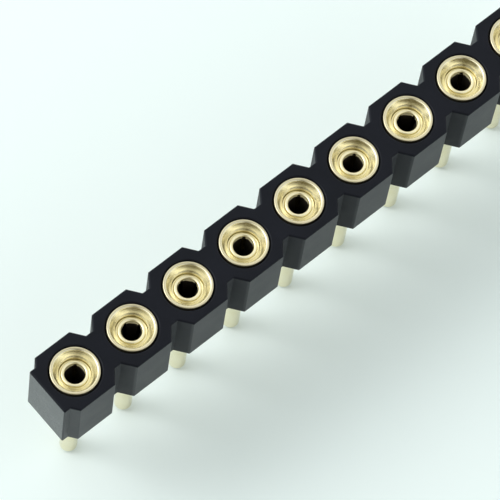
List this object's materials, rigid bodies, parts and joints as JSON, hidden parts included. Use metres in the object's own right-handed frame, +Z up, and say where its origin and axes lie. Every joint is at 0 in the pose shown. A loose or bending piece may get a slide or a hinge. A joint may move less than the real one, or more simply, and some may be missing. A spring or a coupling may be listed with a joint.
{
  "type": "female pin header strip",
  "caption": "In-line female header strip: a notched moulded insulator holding turned, gold-plated contacts with funnel mouths, spring clips and slim soldering tails.",
  "frame": {"origin": "on the axis of the first contact, in the plane where the shoulders of the barrels stand on the circuit board", "axes": "+Z up out of the sockets, along every contact's axis; +X along the row from the first contact to the last; +Y across the row"},
  "size_m": [0.0253, 0.0024, 0.0074],
  "materials": {
    "insulator": "black glass-filled moulding, satin, with a slight blue cast",
    "contact_gold": "turned brass, flash gold plated, bright with fine turning rings",
    "clip_gold": "stamped spring alloy, gold plated, bright"
  },
  "bodies": {
    "root": {"insulator": "insulator", "contact_sleeve_1": "contact_gold", "contact_sleeve_2": "contact_gold", "contact_sleeve_3": "contact_gold", "contact_sleeve_4": "contact_gold", "contact_sleeve_5": "contact_gold", "contact_sleeve_6": "contact_gold", "contact_sleeve_7": "contact_gold", "contact_sleeve_8": "contact_gold", "contact_sleeve_9": "contact_gold", "contact_sleeve_10": "contact_gold", "spring_clip_1": "clip_gold", "spring_clip_2": "clip_gold", "spring_clip_3": "clip_gold", "spring_clip_4": "clip_gold", "spring_clip_5": "clip_gold", "spring_clip_6": "clip_gold", "spring_clip_7": "clip_gold", "spring_clip_8": "clip_gold", "spring_clip_9": "clip_gold", "spring_clip_10": "clip_gold"}
  },
  "joints": []
}
